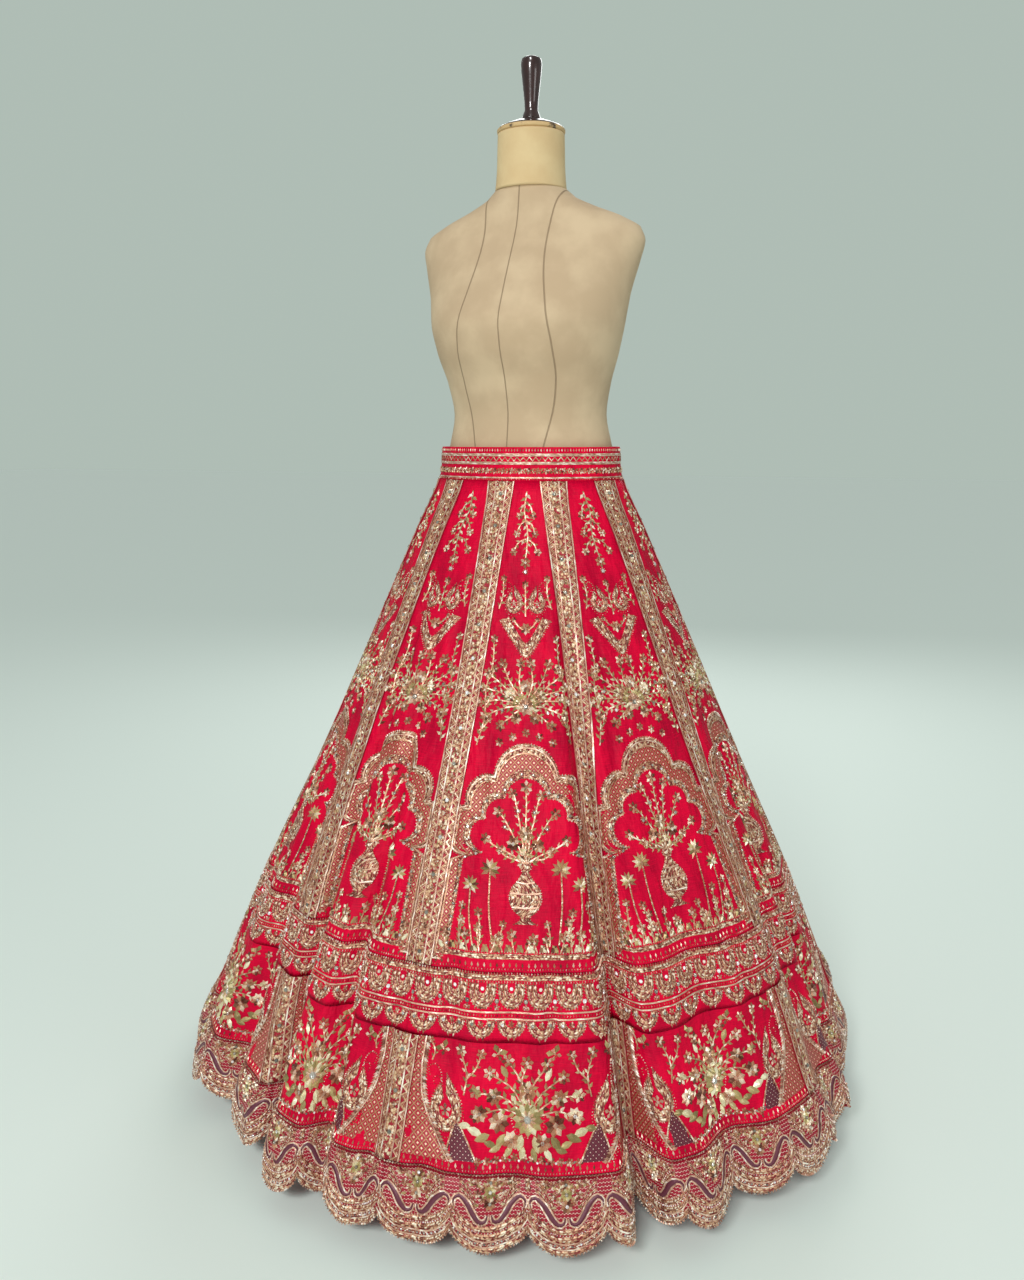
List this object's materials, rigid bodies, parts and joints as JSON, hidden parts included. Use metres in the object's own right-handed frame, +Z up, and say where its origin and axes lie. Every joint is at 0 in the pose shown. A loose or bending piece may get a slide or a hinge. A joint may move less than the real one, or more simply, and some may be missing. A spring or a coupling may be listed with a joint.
{
  "type": "lehenga skirt on a dress form",
  "caption": "Flared, panelled lehenga skirt with embroidered seam tapes, a wide border and a scalloped hem, worn by a limbless dress form on a round stand.",
  "frame": {"origin": "on the floor under the middle of the stand's base", "axes": "+Z up along the stand, -Y towards the front of the form, +X towards the form's left"},
  "size_m": [1.0898, 1.12, 1.576],
  "materials": {
    "silk": "crimson raw silk with a soft satin sheen",
    "zari_tape": "tape worked solid with dull gold thread, cord and beads",
    "zari_border": "border worked solid with dull gold thread, cord, beads and crystals",
    "waistband": "crimson silk band with rows of gold thread",
    "canvas": "cream cotton canvas, slightly aged",
    "dark_wood": "dark brown polished wood with a worn rim",
    "iron": "black enamelled iron"
  },
  "bodies": {
    "root": {"panel_01": "silk", "panel_02": "silk", "panel_03": "silk", "panel_04": "silk", "panel_05": "silk", "panel_06": "silk", "panel_07": "silk", "panel_08": "silk", "panel_09": "silk", "panel_10": "silk", "seam_tape_01": "zari_tape", "seam_tape_02": "zari_tape", "seam_tape_03": "zari_tape", "seam_tape_04": "zari_tape", "seam_tape_05": "zari_tape", "seam_tape_06": "zari_tape", "seam_tape_07": "zari_tape", "seam_tape_08": "zari_tape", "seam_tape_09": "zari_tape", "seam_tape_10": "zari_tape", "hem_seam_tape_01": "zari_tape", "hem_seam_tape_02": "zari_tape", "hem_seam_tape_03": "zari_tape", "hem_seam_tape_04": "zari_tape", "hem_seam_tape_05": "zari_tape", "hem_seam_tape_06": "zari_tape", "hem_seam_tape_07": "zari_tape", "hem_seam_tape_08": "zari_tape", "hem_seam_tape_09": "zari_tape", "hem_seam_tape_10": "zari_tape", "knee_border_01": "zari_border", "knee_border_02": "zari_border", "knee_border_03": "zari_border", "knee_border_04": "zari_border", "knee_border_05": "zari_border", "hem_border_01": "zari_border", "hem_border_02": "zari_border", "hem_border_03": "zari_border", "hem_border_04": "zari_border", "hem_border_05": "zari_border", "hem_border_06": "zari_border", "hem_border_07": "zari_border", "hem_border_08": "zari_border", "hem_border_09": "zari_border", "hem_border_10": "zari_border", "waistband_front": "waistband", "waistband_back": "waistband", "form_torso": "canvas", "form_neck": "canvas", "neck_cap": "dark_wood", "neck_handle": "dark_wood", "stand_pole": "iron", "stand_base": "iron"}
  },
  "joints": []
}
